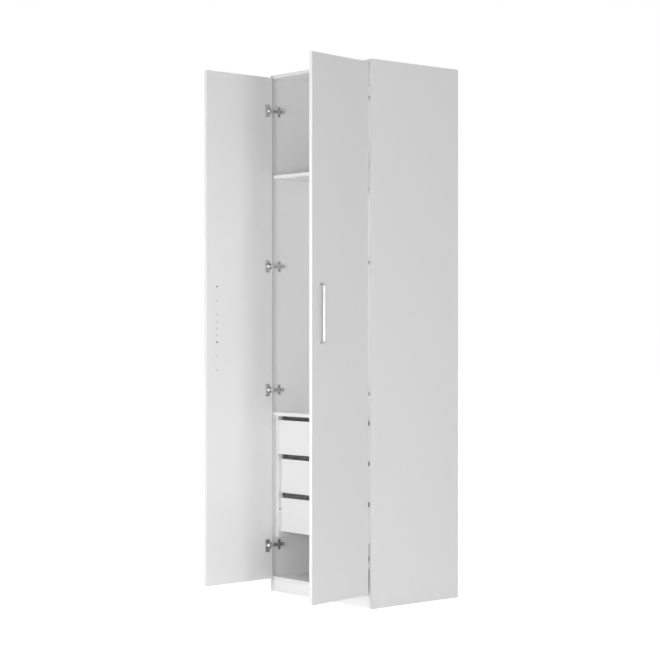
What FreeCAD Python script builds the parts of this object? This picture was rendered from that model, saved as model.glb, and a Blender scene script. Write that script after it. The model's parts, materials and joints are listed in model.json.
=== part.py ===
import FreeCAD, Part
import math
import os

os.makedirs("parts", exist_ok=True)

# Overall sizes in millimetres
WIDTH = 760.0
DEPTH = 514.0
HEIGHT = 2444.0
BOARD = 16.0

# Carcass
PLINTH_H = 56.0
PLINTH_RECESS = 6.0
REAR_RAIL_SET = 30.0
BOTTOM_RECESS = 2.0
BACK_T = 4.0
BACK_INSET = 10.0
GROOVE_D = 8.0
GROOVE_SLACK = 0.4
BACK_EDGE_CLEAR = 1.0
TOP_SPACE = 458.0
SHELF_SETBACK = 1.0
SHELF_CLEAR = 0.5
LOW_SPACE = 188.0

# Fasteners
BORE_CLEAR = 0.3
CAM_R = 7.5
CAM_H = 12.0
CAM_REACH = 34.0
CAM_INSET = 60.0
CAM_BOLT_R = 3.0
CAM_BOLT_IN = 11.0
CAM_BOLT_GAP = 0.6
SCREW_R = 1.9
SCREW_IN = 10.0
HEAD_R = 3.6
HEAD_H = 1.6
RECESS_PART = 0.5
CAM_RECESS_PART = 0.25
SEAM_CLEAR = 0.4
DOWEL_R = 3.0
DOWEL_IN = 10.0
DOWEL_OUT = 16.0
DOWEL_STEP = 32.0
BACK_SCREW_AT = (-0.41, -0.14, 0.14, 0.41)

# Shelf pins, clothes rail, wall bracket and centre foot
PIN_R = 2.5
PIN_IN = 9.0
PIN_PAD = 10.0
PIN_PAD_H = 5.0
PIN_INSET = 70.0
RAIL_R = 12.5
RAIL_WALL = 1.4
RAIL_DROP = 64.0
SOCKET_BASE = 3.0
SOCKET_CUP = 14.0
SOCKET_WALL = 2.5
SOCKET_EAR = 16.0
SOCKET_SCREW = 24.0
SOCKET_HALF_H = 32.0
BRACKET = 40.0
BRACKET_T = 2.0
BRACKET_SCREW = 12.0
FOOT_R = 26.0
FOOT_H = 10.0
FOOT_STEM_R = 13.0
FOOT_PLATE = 70.0
FOOT_PLATE_T = 5.0

# Doors
DOOR_GAP = 3.0
DOOR_REVEAL = 1.5
DOOR_MEET = 3.0
DOOR_LAP = 9.0
DOOR_TOP_REVEAL = 13.0
LEFT_OPEN = 88.5
RIGHT_OPEN = 101.5
ROW_PITCH = 32.0
ROW_STEPS = (6, 4, 2, 1, 0, -1, -2, -4, -6)
HANDLE_STEPS = (6, -2)
ROW_INSET = 58.0
ROW_HOLE_R = 2.5
ROW_HOLE_D = 11.0

# Handles
HANDLE_W = 12.0
HANDLE_BAR = 5.5
HANDLE_LEG = 11.0
HANDLE_END = 4.0
HANDLE_OUT = 20.5
HANDLE_CHAMFER = 12.0
HANDLE_SCREW_R = 2.0
HANDLE_SCREW_IN = 8.0
HANDLE_HEAD_R = 4.2
HANDLE_HEAD_H = 2.2

# Concealed hinges
PIVOT_DEPTH = 0.5
SWING_CLEAR = 0.3
HINGE_UNDER = 39.0
HINGE_OVER = 106.0
CUP_R = 17.5
CUP_EDGE = 5.0
CUP_DEPTH = 11.5
CUP_WALL = 1.0
RIM = 2.0
FLANGE_T = 1.2
FLANGE_SHIFT = 6.3
FLANGE_W = 26.4
FLANGE_H = 59.0
CUP_SCREW_Z = 23.5
PLATE_LINE = 37.0
PLATE_T = 2.5
PLATE_HALF = 8.0
PLATE_WING = 7.0
PLATE_WING_H = 25.0
PLATE_START = 8.0
PLATE_END = 60.0
ARM_HALF = 7.5
ARM_H = 9.0
ARM_START = 2.0
ARM_SCREWS = (15.5, 38.0)
ARM_SCREW_D = 6.0
NOSE_T = 3.0
NOSE_LOW = 7.0
NOSE_ROOT = 5.0
LINK_GAP = 0.4
LINK_T = 1.8
LINK_LOW = 9.6
LINK_HALF = 6.0
LINK_SHARE = 0.45
POST_BACK = 14.0
POST_FORE = 2.3

# Drawer unit and drawers
UNIT_SETBACK = 19.0
UNIT_SIDE = 18.0
UNIT_SCREW_Z = 130.0
UNIT_SCREW_FRONT = 10.0
UNIT_SCREW_REAR = 30.0
CROSS_SET = 25.5
CROSS_T = 12.0
CROSS_CLEAR = 1.5
DRAWERS = 3
FRONT_H = 160.0
GRIP_GAP = 24.0
UNIT_TOP_GAP = 21.0
DRAWER_RECESS = 16.5
FRONT_CLEAR = 2.0
PHOTO_PULL = (16.5, 0.0, 0.0)
BOX_T = 12.0
BOX_SPARE = 48.5
BOX_LIFT = 14.0
BOX_DROP = 4.0
BOX_FLOOR = 6.0
RUNNER_GAP = 13.0
RUNNER_H = 45.0
RUNNER_STEEL = 1.2
RUNNER_LIP = 10.5
RUNNER_PLAY = 0.2
RUNNER_BACK = 3.0
RUNNER_SET = 2.0

# Derived positions
HALF = WIDTH / 2
INNER = HALF - BOARD
FRONT = -DEPTH / 2
REAR = DEPTH / 2
BACK_FACE = REAR - BACK_INSET - BACK_T
BOTTOM_TOP = PLINTH_H + BOARD
PLINTH_Y = FRONT + PLINTH_RECESS
REAR_PLINTH_Y = BACK_FACE - REAR_RAIL_SET - BOARD
TOP_UNDER = HEIGHT - BOARD
SHELF_TOP = TOP_UNDER - TOP_SPACE
SHELF_UNDER = SHELF_TOP - BOARD
UNIT_BOTTOM = BOTTOM_TOP + LOW_SPACE
STEP = FRONT_H + GRIP_GAP
UNIT_UNDER = UNIT_BOTTOM + DRAWERS * STEP + UNIT_TOP_GAP
UNIT_IN = INNER - UNIT_SIDE
CROSS_Y = FRONT + UNIT_SETBACK + CROSS_SET
FACE = FRONT + UNIT_SETBACK + DRAWER_RECESS
BOX_START = FACE + BOARD
BOX_END = BACK_FACE - BOX_SPARE
BOX_OUT = UNIT_IN - RUNNER_GAP
DOOR_IN_Y = FRONT - DOOR_GAP
DOOR_OUT_Y = DOOR_IN_Y - BOARD
DOOR_EDGE = HALF - DOOR_REVEAL
DOOR_FREE = DOOR_MEET / 2
DOOR_BOTTOM = BOTTOM_TOP - DOOR_LAP
DOOR_TOP = HEIGHT - DOOR_TOP_REVEAL
DOOR_MID = (DOOR_BOTTOM + DOOR_TOP) / 2
SWING_R = DOOR_GAP + BOARD - PIVOT_DEPTH - SWING_CLEAR
PIVOT_IN = math.sqrt(SWING_R ** 2 - (BOARD - PIVOT_DEPTH) ** 2)
PIVOT_X = DOOR_EDGE - PIVOT_IN
PIVOT_Y = DOOR_OUT_Y + PIVOT_DEPTH
LINK_R = SWING_R + LINK_GAP
NOSE_R = LINK_R + LINK_T + LINK_GAP
CUP_X = DOOR_EDGE - CUP_EDGE - CUP_R
FLANGE_X = CUP_X - FLANGE_SHIFT
HINGE_END = UNIT_BOTTOM - HINGE_UNDER - DOOR_BOTTOM
HINGE_MID = DOOR_MID - HINGE_OVER - UNIT_UNDER - BOARD
HINGE_Z = (DOOR_BOTTOM + HINGE_END, DOOR_MID - HINGE_MID, DOOR_MID + HINGE_MID, DOOR_TOP - HINGE_END)
ROW_X = DOOR_FREE + ROW_INSET
ROW_Z = [DOOR_MID + n * ROW_PITCH for n in ROW_STEPS]
HANDLE_Z = [DOOR_MID + n * ROW_PITCH for n in HANDLE_STEPS]
RAIL_Y = (FRONT + BACK_FACE) / 2
RAIL_Z = SHELF_UNDER - RAIL_DROP
CAM_Y = (FRONT + CAM_INSET, BACK_FACE - CAM_INSET)
CAM_Z = (PLINTH_H + BOARD / 2, UNIT_UNDER + BOARD / 2, TOP_UNDER + BOARD / 2)
PIN_Y = (FRONT + PIN_INSET, BACK_FACE - PIN_INSET)
UNIT_SCREWS_Y = (FRONT + UNIT_SETBACK + UNIT_SCREW_FRONT, BACK_FACE - UNIT_SCREW_REAR)
UNIT_SCREWS_Z = (UNIT_BOTTOM + UNIT_SCREW_Z, UNIT_UNDER - UNIT_SCREW_Z)
BACK_SCREWS_X = [f * 2 * INNER for f in BACK_SCREW_AT]
BACK_SEAM = CAM_Z[1]
SEAM_STEP = HEAD_R + SEAM_CLEAR
BACK_SPLIT = (BACK_SEAM - SEAM_STEP, BACK_SEAM + SEAM_STEP)
BACK_LOW_ROWS = (CAM_Z[0], BACK_SPLIT[0])
BACK_HIGH_ROWS = (BACK_SPLIT[1], CAM_Z[2])
UP = FreeCAD.Vector(0, 0, 1)


def vec(x, y, z):
    return FreeCAD.Vector(x, y, z)


def block(x0, x1, y0, y1, z0, z1):
    return Part.makeBox(x1 - x0, y1 - y0, z1 - z0, vec(x0, y0, z0))


def rod(radius, start, end):
    return Part.makeCylinder(radius, (end - start).Length, start, end - start)


def prism(points, travel):
    face = Part.Face(Part.makePolygon(points + points[:1]))
    return face.extrude(travel)


def group(solids):
    return Part.makeCompound(solids)


def mirrored(shape):
    return shape.mirror(vec(0, 0, 0), vec(1, 0, 0))


def both_sides(solids):
    return solids + [mirrored(s) for s in solids]


def save(name, shape):
    shape.exportStep("parts/" + name + ".step")


# A pan-head screw: the head stands on the seat, the shank runs down the given direction
def screw(seat, down, shank, length, head, height):
    axis = vec(down.x, down.y, down.z)
    axis.normalize()
    body = rod(shank, seat, seat + axis * length)
    top = seat - axis * height
    cap = rod(head, seat, top)
    recess = rod(head * RECESS_PART, top, top + axis * (height * RECESS_PART))
    return body.fuse(cap).removeSplitter().cut(recess)


def screw_hole(seat, down, shank, length):
    axis = vec(down.x, down.y, down.z)
    axis.normalize()
    return rod(shank + BORE_CLEAR, seat, seat + axis * (length + BORE_CLEAR))


# Places where fasteners enter the right-hand side panel from inside
def plate_screw_seats():
    y = FRONT + PLATE_LINE
    return [vec(INNER - PLATE_T, y, z + n * ROW_PITCH / 2) for z in HINGE_Z for n in (-1, 1)]


def socket_screw_seats():
    x = INNER - SOCKET_BASE
    return [vec(x, RAIL_Y, RAIL_Z + n * SOCKET_SCREW) for n in (-1, 1)]


def unit_screw_seats():
    return [vec(UNIT_IN, y, z) for y in UNIT_SCREWS_Y for z in UNIT_SCREWS_Z]


# A dowel across the joint between an upright and the end of a board
def dowel(seat, clear):
    right = vec(1, 0, 0)
    return rod(DOWEL_R + clear, seat - right * (DOWEL_OUT + clear), seat + right * (DOWEL_IN + clear))


def plinth_dowel_seats(y):
    return [vec(INNER, y + BOARD / 2, (PLINTH_H + n * DOWEL_STEP) / 2) for n in (-1, 1)]


def cross_dowel_seats(n):
    return [vec(UNIT_IN, CROSS_Y + CROSS_T / 2, sum(cross_span(n)) / 2)]


def side_panel():
    panel = block(INNER, HALF, FRONT, REAR, 0, HEIGHT)
    groove_end = BACK_FACE + BACK_T + GROOVE_SLACK
    cuts = [block(INNER, INNER + GROOVE_D, BACK_FACE, groove_end, 0, HEIGHT)]
    right = vec(1, 0, 0)
    for y in CAM_Y:
        for z in CAM_Z:
            start = vec(INNER, y, z)
            cuts.append(rod(CAM_BOLT_R + BORE_CLEAR, start, start + right * CAM_BOLT_IN))
    for y in PIN_Y:
        start = vec(INNER, y, SHELF_UNDER - PIN_PAD_H / 2)
        cuts.append(rod(PIN_R + BORE_CLEAR, start, start + right * (PIN_IN + BORE_CLEAR)))
    for seat in plate_screw_seats():
        cuts.append(screw_hole(seat, right, SCREW_R, PLATE_T + SCREW_IN))
    for seat in socket_screw_seats():
        cuts.append(screw_hole(seat, right, SCREW_R, SOCKET_BASE + SCREW_IN))
    for seat in unit_screw_seats():
        cuts.append(screw_hole(seat, right, SCREW_R, UNIT_SIDE + SCREW_IN))
    for y in (PLINTH_Y, REAR_PLINTH_Y):
        cuts += [dowel(s, BORE_CLEAR) for s in plinth_dowel_seats(y)]
    return panel.cut(cuts)


def plinth(y):
    board = block(-INNER, INNER, y, y + BOARD, 0, PLINTH_H)
    return board.cut(both_sides([dowel(s, BORE_CLEAR) for s in plinth_dowel_seats(y)]))


def dowels():
    seats = plinth_dowel_seats(PLINTH_Y) + plinth_dowel_seats(REAR_PLINTH_Y)
    for n in range(DRAWERS):
        seats += cross_dowel_seats(n)
    return group(both_sides([dowel(s, 0) for s in seats]))


# Bores for two cams and two bolts at each end of a board
def cam_cuts(z0, z1, cams_up):
    cuts = []
    middle = (z0 + z1) / 2
    for y in CAM_Y:
        mouth = z1 if cams_up else z0
        floor = mouth - CAM_H if cams_up else mouth + CAM_H
        x = INNER - CAM_REACH
        cuts.append(rod(CAM_R + BORE_CLEAR, vec(x, y, mouth), vec(x, y, floor)))
        cuts.append(rod(CAM_BOLT_R + BORE_CLEAR, vec(x, y, middle), vec(INNER, y, middle)))
    return both_sides(cuts)


def back_screw_cuts(z):
    seats = [vec(x, BACK_FACE + BACK_T, z) for x in BACK_SCREWS_X]
    return [screw_hole(s, vec(0, -1, 0), SCREW_R, BACK_T + SCREW_IN) for s in seats]


def fixed_board(y0, z0, cams_up, screw_rows):
    board = block(-INNER, INNER, y0, BACK_FACE, z0, z0 + BOARD)
    cuts = cam_cuts(z0, z0 + BOARD, cams_up)
    for z in screw_rows:
        cuts += back_screw_cuts(z)
    return board.cut(cuts)


def bracket_seats():
    y = BACK_FACE - BRACKET / 2
    return [vec(n * BRACKET_SCREW, y, TOP_UNDER - BRACKET_T) for n in (-1, 1)]


def top_board():
    cuts = [screw_hole(s, UP, SCREW_R, BRACKET_T + SCREW_IN) for s in bracket_seats()]
    return fixed_board(FRONT, TOP_UNDER, True, CAM_Z[2:]).cut(cuts)


def back_panel(z0, z1, screw_rows):
    edge = INNER + GROOVE_D - BACK_EDGE_CLEAR
    panel = block(-edge, edge, BACK_FACE, BACK_FACE + BACK_T, z0, z1)
    cuts = []
    for z in screw_rows:
        cuts += back_screw_cuts(z)
    return panel.cut(cuts)


def back_screws():
    rows = BACK_LOW_ROWS + BACK_HIGH_ROWS
    seats = [vec(x, BACK_FACE + BACK_T, z) for z in rows for x in BACK_SCREWS_X]
    return group([screw(s, vec(0, -1, 0), SCREW_R, BACK_T + SCREW_IN, HEAD_R, HEAD_H) for s in seats])


def cam_discs():
    discs = []
    x = INNER - CAM_REACH
    for y in CAM_Y:
        for z0, cams_up in ((PLINTH_H, False), (UNIT_UNDER, False), (TOP_UNDER, True)):
            mouth = z0 + BOARD if cams_up else z0
            floor = mouth - CAM_H if cams_up else mouth + CAM_H
            depth = vec(0, 0, floor - mouth)
            disc = rod(CAM_R, vec(x, y, mouth), vec(x, y, floor))
            start = vec(x, y, mouth)
            recess = rod(CAM_R * RECESS_PART, start, start + depth * CAM_RECESS_PART)
            discs.append(disc.cut(recess))
    return group(both_sides(discs))


def cam_bolts():
    bolts = []
    reach = CAM_REACH - CAM_R - CAM_BOLT_GAP
    for y in CAM_Y:
        for z in CAM_Z:
            bolts.append(rod(CAM_BOLT_R, vec(INNER - reach, y, z), vec(INNER + CAM_BOLT_IN, y, z)))
    return group(both_sides(bolts))


def shelf_pins():
    pins = []
    for y in PIN_Y:
        z0 = SHELF_UNDER - PIN_PAD_H
        pad = block(INNER - PIN_PAD, INNER, y - PIN_PAD / 2, y + PIN_PAD / 2, z0, SHELF_UNDER)
        z = SHELF_UNDER - PIN_PAD_H / 2
        peg = rod(PIN_R - BORE_CLEAR / 2, vec(INNER, y, z), vec(INNER + PIN_IN, y, z))
        pins.append(pad.fuse(peg))
    return group(both_sides(pins))


def unit_side():
    board = block(UNIT_IN, INNER, FRONT + UNIT_SETBACK, BACK_FACE, UNIT_BOTTOM, UNIT_UNDER)
    holes = [screw_hole(s, vec(1, 0, 0), SCREW_R, UNIT_SIDE) for s in unit_screw_seats()]
    for n in range(DRAWERS):
        holes += [dowel(s, BORE_CLEAR) for s in cross_dowel_seats(n)]
    return board.cut(holes)


# The height between a drawer front and what is above it
def cross_span(n):
    above = drawer_bottom(n - 1) - CROSS_CLEAR if n else UNIT_UNDER
    return drawer_bottom(n) + FRONT_H + CROSS_CLEAR, above


def cross_bars():
    bars = []
    for n in range(DRAWERS):
        z0, z1 = cross_span(n)
        bar = block(-UNIT_IN, UNIT_IN, CROSS_Y, CROSS_Y + CROSS_T, z0, z1)
        bars.append(bar.cut(both_sides([dowel(s, BORE_CLEAR) for s in cross_dowel_seats(n)])))
    return group(bars)


def unit_screws():
    down = vec(1, 0, 0)
    length = UNIT_SIDE + SCREW_IN
    one = [screw(s, down, SCREW_R, length, HEAD_R, HEAD_H) for s in unit_screw_seats()]
    return group(both_sides(one))


def clothes_rail():
    end = INNER - SOCKET_BASE
    outer = rod(RAIL_R, vec(-end, RAIL_Y, RAIL_Z), vec(end, RAIL_Y, RAIL_Z))
    inner = rod(RAIL_R - RAIL_WALL, vec(-end, RAIL_Y, RAIL_Z), vec(end, RAIL_Y, RAIL_Z))
    return outer.cut(inner)


def rail_sockets():
    base_x = INNER - SOCKET_BASE
    ear_y0 = RAIL_Y - SOCKET_EAR
    ear_y1 = RAIL_Y + SOCKET_EAR
    base = block(base_x, INNER, ear_y0, ear_y1, RAIL_Z - SOCKET_HALF_H, RAIL_Z + SOCKET_HALF_H)
    bore = RAIL_R + BORE_CLEAR
    mouth = vec(base_x - SOCKET_CUP, RAIL_Y, RAIL_Z)
    seat = vec(base_x, RAIL_Y, RAIL_Z)
    ring = rod(bore + SOCKET_WALL, mouth, seat).cut(rod(bore, mouth, seat))
    holes = [screw_hole(s, vec(1, 0, 0), SCREW_R, SOCKET_BASE) for s in socket_screw_seats()]
    return group(both_sides([base.fuse(ring).cut(holes)]))


def wall_bracket():
    half = BRACKET / 2
    y0 = BACK_FACE - BRACKET
    flat = block(-half, half, y0, BACK_FACE, TOP_UNDER - BRACKET_T, TOP_UNDER)
    upright = block(-half, half, BACK_FACE - BRACKET_T, BACK_FACE, TOP_UNDER - BRACKET, TOP_UNDER)
    holes = [screw_hole(s, UP, SCREW_R, BRACKET_T) for s in bracket_seats()]
    return flat.fuse(upright).removeSplitter().cut(holes)


def wood_screws():
    right = vec(1, 0, 0)
    length = SOCKET_BASE + SCREW_IN
    rail = [screw(s, right, SCREW_R, length, HEAD_R, HEAD_H) for s in socket_screw_seats()]
    up_length = BRACKET_T + SCREW_IN
    top = [screw(s, UP, SCREW_R, up_length, HEAD_R, HEAD_H) for s in bracket_seats()]
    return group(both_sides(rail) + top)


def centre_foot():
    half = FOOT_PLATE / 2
    base = rod(FOOT_R, vec(0, 0, 0), vec(0, 0, FOOT_H))
    stem = rod(FOOT_STEM_R, vec(0, 0, FOOT_H), vec(0, 0, PLINTH_H - FOOT_PLATE_T))
    plate = block(-half, half, -half, half, PLINTH_H - FOOT_PLATE_T, PLINTH_H)
    return base.fuse(stem).fuse(plate).removeSplitter()


# Door pieces are drawn closed on the right-hand side, then swung to the resting angle
def cup_screw_seats(z):
    return [vec(FLANGE_X, DOOR_IN_Y + FLANGE_T, z + n * CUP_SCREW_Z) for n in (-1, 1)]


def door():
    board = block(DOOR_FREE, DOOR_EDGE, DOOR_OUT_Y, DOOR_IN_Y, DOOR_BOTTOM, DOOR_TOP)
    out = vec(0, -1, 0)
    cuts = []
    for z in HINGE_Z:
        mouth = vec(CUP_X, DOOR_IN_Y, z)
        cuts.append(rod(CUP_R, mouth, mouth + out * CUP_DEPTH))
        for seat in cup_screw_seats(z):
            cuts.append(screw_hole(seat, out, SCREW_R, FLANGE_T + SCREW_IN))
    for z in ROW_Z:
        mouth = vec(ROW_X, DOOR_IN_Y, z)
        depth = BOARD if z in HANDLE_Z else ROW_HOLE_D
        cuts.append(rod(ROW_HOLE_R, mouth, mouth + out * depth))
    return board.cut(cuts)


def hinge_cups():
    cups = []
    out = vec(0, -1, 0)
    for z in HINGE_Z:
        mouth = vec(CUP_X, DOOR_IN_Y, z)
        lip = mouth - out * FLANGE_T
        shell = rod(CUP_R - BORE_CLEAR, mouth, mouth + out * CUP_DEPTH)
        rim = rod(CUP_R + RIM, mouth, lip)
        x0 = FLANGE_X - FLANGE_W / 2
        z0 = z - FLANGE_H / 2
        wings = block(x0, x0 + FLANGE_W, DOOR_IN_Y, DOOR_IN_Y + FLANGE_T, z0, z0 + FLANGE_H)
        hollow = rod(CUP_R - BORE_CLEAR - CUP_WALL, lip, mouth + out * (CUP_DEPTH - CUP_WALL))
        holes = [screw_hole(s, out, SCREW_R, FLANGE_T) for s in cup_screw_seats(z)]
        cup = shell.fuse(rim).fuse(wings).removeSplitter().cut([hollow] + holes)
        cups.append(cup.fuse(cup_post(z)).removeSplitter())
    return group(cups)


# A round about the turning axis of the door, as high as a hinge link or arm
def turning(radius, z, half):
    return rod(radius, vec(PIVOT_X, PIVOT_Y, z - half), vec(PIVOT_X, PIVOT_Y, z + half))


# The round-topped post that stands in the cup and carries the link
def cup_post(z):
    floor = DOOR_IN_Y - CUP_DEPTH + CUP_WALL / 2
    x0 = PIVOT_X - POST_BACK
    web = block(x0, PIVOT_X + POST_FORE, floor, FRONT, z - LINK_HALF, z + LINK_HALF)
    return web.common(turning(SWING_R, z, LINK_HALF))


# Curved links between the posts and the arms, all about one upright axis
def hinge_links():
    links = []
    outer = LINK_R + LINK_T
    for z in HINGE_Z:
        ring = turning(outer, z, LINK_HALF).cut(turning(LINK_R, z, LINK_HALF))
        x0 = PIVOT_X - outer
        x1 = INNER - 2 * LINK_GAP
        y0 = PIVOT_Y + LINK_LOW
        sector = block(x0, x1, y0, PIVOT_Y + outer, z - LINK_HALF, z + LINK_HALF)
        links.append(ring.common(sector))
    return group(links)


def cup_screws():
    out = vec(0, -1, 0)
    length = FLANGE_T + SCREW_IN
    seats = [s for z in HINGE_Z for s in cup_screw_seats(z)]
    return group([screw(s, out, SCREW_R, length, HEAD_R, HEAD_H) for s in seats])


def hinge_plates():
    plates = []
    x0 = INNER - PLATE_T
    for z in HINGE_Z:
        y0 = FRONT + PLATE_START
        y1 = FRONT + PLATE_END
        bar = block(x0, INNER, y0, y1, z - PLATE_HALF, z + PLATE_HALF)
        wing_y0 = FRONT + PLATE_LINE - PLATE_WING
        wing_y1 = FRONT + PLATE_LINE + PLATE_WING
        wing = block(x0, INNER, wing_y0, wing_y1, z - PLATE_WING_H, z + PLATE_WING_H)
        plates.append(bar.fuse(wing).removeSplitter())
    holes = [screw_hole(s, vec(1, 0, 0), SCREW_R, PLATE_T) for s in plate_screw_seats()]
    return group([p.cut(holes) for p in plates])


def arm_screw_seats(z):
    x = INNER - PLATE_T - ARM_H
    return [vec(x, FRONT + y, z) for y in ARM_SCREWS]


def hinge_arms():
    arms = []
    base = INNER - PLATE_T
    top = base - ARM_H
    tip = PIVOT_X - NOSE_R - NOSE_T
    low = PIVOT_Y + NOSE_LOW
    for z in HINGE_Z:
        z0 = z - ARM_HALF
        z1 = z + ARM_HALF
        bar = block(top, base, FRONT + ARM_START, FRONT + PLATE_END, z0, z1)
        bend = block(tip, base, low, FRONT + NOSE_ROOT, z0, z1)
        nose = bend.common(turning(NOSE_R + NOSE_T, z, ARM_HALF))
        holes = [screw_hole(s, vec(1, 0, 0), SCREW_R, ARM_SCREW_D) for s in arm_screw_seats(z)]
        arm = bar.fuse(nose).removeSplitter()
        arms.append(arm.cut([turning(NOSE_R, z, ARM_HALF)] + holes))
    return group(arms)


def hinge_screws():
    right = vec(1, 0, 0)
    length = PLATE_T + SCREW_IN
    parts = [screw(s, right, SCREW_R, length, HEAD_R, HEAD_H) for s in plate_screw_seats()]
    for z in HINGE_Z:
        for seat in arm_screw_seats(z):
            parts.append(screw(seat, right, SCREW_R, ARM_SCREW_D, HEAD_R, HEAD_H))
    return group(both_sides(parts))


# A flat bar bent to a U, its two outer corners cut at an angle
def handle():
    x0 = ROW_X - HANDLE_W / 2
    high = max(HANDLE_Z) + HANDLE_END
    low = min(HANDLE_Z) - HANDLE_END
    foot = DOOR_OUT_Y
    nose = DOOR_OUT_Y - HANDLE_OUT
    inside = nose + HANDLE_BAR
    bend = HANDLE_CHAMFER - HANDLE_BAR / 2
    outline = [
        vec(x0, foot, high),
        vec(x0, nose + HANDLE_CHAMFER, high),
        vec(x0, nose, high - HANDLE_CHAMFER),
        vec(x0, nose, low + HANDLE_CHAMFER),
        vec(x0, nose + HANDLE_CHAMFER, low),
        vec(x0, foot, low),
        vec(x0, foot, low + HANDLE_LEG),
        vec(x0, inside + bend, low + HANDLE_LEG),
        vec(x0, inside, low + HANDLE_LEG + bend),
        vec(x0, inside, high - HANDLE_LEG - bend),
        vec(x0, inside + bend, high - HANDLE_LEG),
        vec(x0, foot, high - HANDLE_LEG),
    ]
    bar = prism(outline, vec(HANDLE_W, 0, 0))
    out = vec(0, -1, 0)
    seats = [vec(ROW_X, foot, z) for z in HANDLE_Z]
    return bar.cut([screw_hole(s, out, HANDLE_SCREW_R, HANDLE_SCREW_IN) for s in seats])


def handle_screws():
    out = vec(0, -1, 0)
    length = BOARD + HANDLE_SCREW_IN
    seats = [vec(ROW_X, DOOR_IN_Y, z) for z in HANDLE_Z]
    return group([screw(s, out, HANDLE_SCREW_R, length, HANDLE_HEAD_R, HANDLE_HEAD_H) for s in seats])


def swing_right(shape, share):
    return shape.rotated(vec(PIVOT_X, PIVOT_Y, 0), UP, RIGHT_OPEN * share)


def swing_left(shape, share):
    return mirrored(shape).rotated(vec(-PIVOT_X, PIVOT_Y, 0), UP, -LEFT_OPEN * share)


# Drawers count from the top
def drawer_bottom(n):
    return UNIT_UNDER - UNIT_TOP_GAP - FRONT_H - n * STEP


def runner_z(n):
    return drawer_bottom(n) + FRONT_H / 2


def drawer_front(n):
    x = UNIT_IN - FRONT_CLEAR
    z = drawer_bottom(n)
    return block(-x, x, FACE, BOX_START, z, z + FRONT_H)


def drawer_side(n):
    z = drawer_bottom(n)
    return block(BOX_OUT - BOX_T, BOX_OUT, BOX_START, BOX_END, z + BOX_LIFT, z + FRONT_H - BOX_DROP)


def drawer_back(n):
    x = BOX_OUT - BOX_T
    z = drawer_bottom(n)
    return block(-x, x, BOX_END - BOX_T, BOX_END, z + BOX_LIFT, z + FRONT_H - BOX_DROP)


def drawer_floor(n):
    z = drawer_bottom(n) + BOX_LIFT
    return block(-BOX_OUT, BOX_OUT, BOX_START, BOX_END, z - BOX_FLOOR, z)


# Both runner members are C channels, the moving one nested in the fixed one
def channel(x_web, x_lip, half, z):
    y0 = BOX_START + RUNNER_SET
    web_x = x_web + math.copysign(RUNNER_STEEL, x_lip - x_web)
    low = min(x_web, x_lip)
    high = max(x_web, x_lip)
    web = block(min(x_web, web_x), max(x_web, web_x), y0, BOX_END, z - half, z + half)
    upper = block(low, high, y0, BOX_END, z + half - RUNNER_STEEL, z + half)
    lower = block(low, high, y0, BOX_END, z - half, z - half + RUNNER_STEEL)
    return web.fuse([upper, lower]).removeSplitter()


def fixed_runners():
    half = RUNNER_H / 2
    runs = [channel(UNIT_IN, UNIT_IN - RUNNER_LIP, half, runner_z(n)) for n in range(DRAWERS)]
    return group(both_sides(runs))


def moving_runners(n):
    half = RUNNER_H / 2 - RUNNER_STEEL - RUNNER_PLAY
    return group(both_sides([channel(BOX_OUT, UNIT_IN - RUNNER_BACK, half, runner_z(n))]))


def save_carcass():
    side = side_panel()
    save("side_right", side)
    save("side_left", mirrored(side))
    save("top_board", top_board())
    save("bottom_board", fixed_board(FRONT + BOTTOM_RECESS, PLINTH_H, False, CAM_Z[:1]))
    save("plinth_front", plinth(PLINTH_Y))
    save("plinth_rear", plinth(REAR_PLINTH_Y))
    save("dowels", dowels())
    save("back_upper", back_panel(BACK_SEAM, HEIGHT, BACK_HIGH_ROWS))
    save("back_lower", back_panel(PLINTH_H, BACK_SEAM, BACK_LOW_ROWS))
    save("back_screws", back_screws())
    shelf_x = INNER - SHELF_CLEAR
    shelf_y = FRONT + SHELF_SETBACK
    save("upper_shelf", block(-shelf_x, shelf_x, shelf_y, BACK_FACE, SHELF_UNDER, SHELF_TOP))
    save("shelf_pins", shelf_pins())
    save("cam_discs", cam_discs())
    save("cam_bolts", cam_bolts())
    save("clothes_rail", clothes_rail())
    save("rail_sockets", rail_sockets())
    save("wall_bracket", wall_bracket())
    save("wood_screws", wood_screws())
    save("centre_foot", centre_foot())


def save_unit():
    save("unit_top", fixed_board(FRONT, UNIT_UNDER, False, BACK_SPLIT))
    save("unit_side_right", unit_side())
    save("unit_side_left", mirrored(unit_side()))
    save("unit_screws", unit_screws())
    save("unit_cross_bars", cross_bars())
    save("fixed_runners", fixed_runners())


def save_drawers():
    for n in range(DRAWERS):
        name = "drawer_" + str(n + 1)
        pull = vec(0, -PHOTO_PULL[n], 0)
        side = drawer_side(n)
        save(name + "_front", drawer_front(n).translated(pull))
        save(name + "_side_right", side.translated(pull))
        save(name + "_side_left", mirrored(side).translated(pull))
        save(name + "_back", drawer_back(n).translated(pull))
        save(name + "_floor", drawer_floor(n).translated(pull))
        save(name + "_runners", moving_runners(n).translated(pull))


def save_doors():
    swung = {
        "door": door(),
        "hinge_cups": hinge_cups(),
        "cup_screws": cup_screws(),
        "handle": handle(),
        "handle_screws": handle_screws(),
    }
    for name, shape in swung.items():
        save(name + "_right", swing_right(shape, 1))
        save(name + "_left", swing_left(shape, 1))
    save("hinge_links_right", swing_right(hinge_links(), LINK_SHARE))
    save("hinge_links_left", swing_left(hinge_links(), LINK_SHARE))
    still = {
        "hinge_plates": hinge_plates(),
        "hinge_arms": hinge_arms(),
    }
    for name, shape in still.items():
        save(name + "_right", shape)
        save(name + "_left", mirrored(shape))
    save("hinge_screws", hinge_screws())


save_carcass()
save_unit()
save_drawers()
save_doors()
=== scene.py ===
"""White two-door wardrobe: the finish of its pieces, the studio and the camera, around the CAD frame."""

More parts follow.
